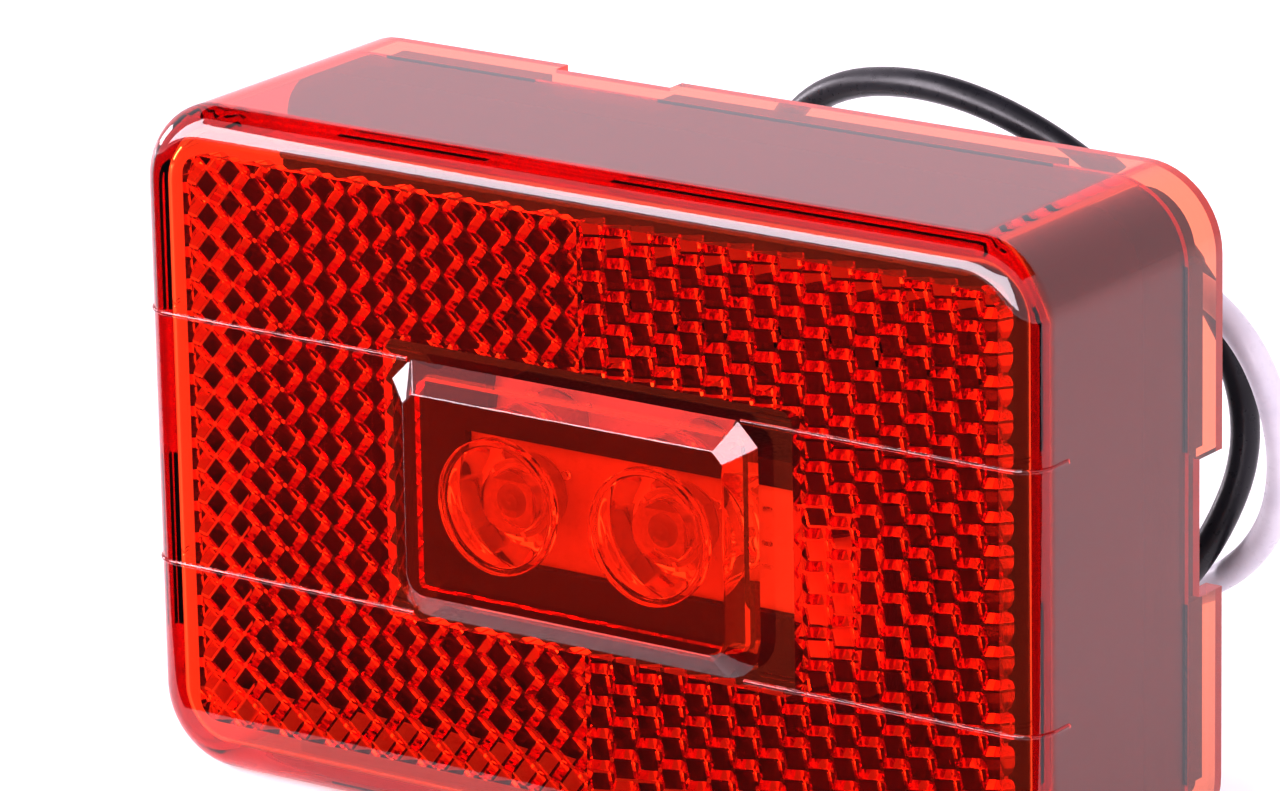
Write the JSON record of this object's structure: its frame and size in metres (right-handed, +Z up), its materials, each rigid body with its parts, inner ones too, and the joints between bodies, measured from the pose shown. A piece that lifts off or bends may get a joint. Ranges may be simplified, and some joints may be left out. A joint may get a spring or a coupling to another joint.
{
  "type": "trailer marker light",
  "caption": "Rectangular red LED marker lamp with a reflex prism field, a bevelled window over its optics, a dark potted housing and free leads.",
  "frame": {"origin": "centre of the rear rim plane, where the lamp lies against the vehicle", "axes": "+X to the lamp's right as seen from in front, +Y to the rear into the vehicle, +Z up; the lens faces -Y"},
  "size_m": [0.0792, 0.0507, 0.0509],
  "materials": {
    "red_lens": "clear red moulded acrylic, polished",
    "dark_housing": "dark moulded ABS, fine texture",
    "board": "white solder mask on glass-filled laminate",
    "led_white": "white moulded package",
    "clear_resin": "clear silicone",
    "led_die": "semiconductor chip",
    "tinned_metal": "tinned",
    "clear_optic": "polished clear acrylic",
    "dark_component": "moulded epoxy and glazed ceramic",
    "capacitor_ceramic": "fired ceramic",
    "solder": "bright solder",
    "potting": "cured black epoxy, slightly domed",
    "black_insulation": "extruded PVC, soft sheen",
    "white_insulation": "extruded PVC, soft sheen",
    "bare_copper": "bare stranded copper"
  },
  "bodies": {
    "root": {"lens_cover": "red_lens", "rear_housing": "dark_housing", "circuit_board": "board", "led_left_package": "led_white", "led_right_package": "led_white", "led_left_resin": "clear_resin", "led_right_resin": "clear_resin", "led_left_die": "led_die", "led_right_die": "led_die", "led_left_terminals": "tinned_metal", "led_right_terminals": "tinned_metal", "optic_left": "clear_optic", "optic_right": "clear_optic", "resistor_left": "dark_component", "resistor_right": "dark_component", "resistor_end_caps": "tinned_metal", "polarity_diode": "dark_component", "diode_terminals": "tinned_metal", "surge_capacitor": "capacitor_ceramic", "capacitor_end_caps": "tinned_metal", "solder_joints": "solder", "potting_compound": "potting", "black_lead_insulation": "black_insulation", "white_lead_insulation": "white_insulation", "black_lead_core": "bare_copper", "white_lead_core": "bare_copper", "black_lead_tip": "bare_copper", "white_lead_tip": "bare_copper"}
  },
  "joints": []
}
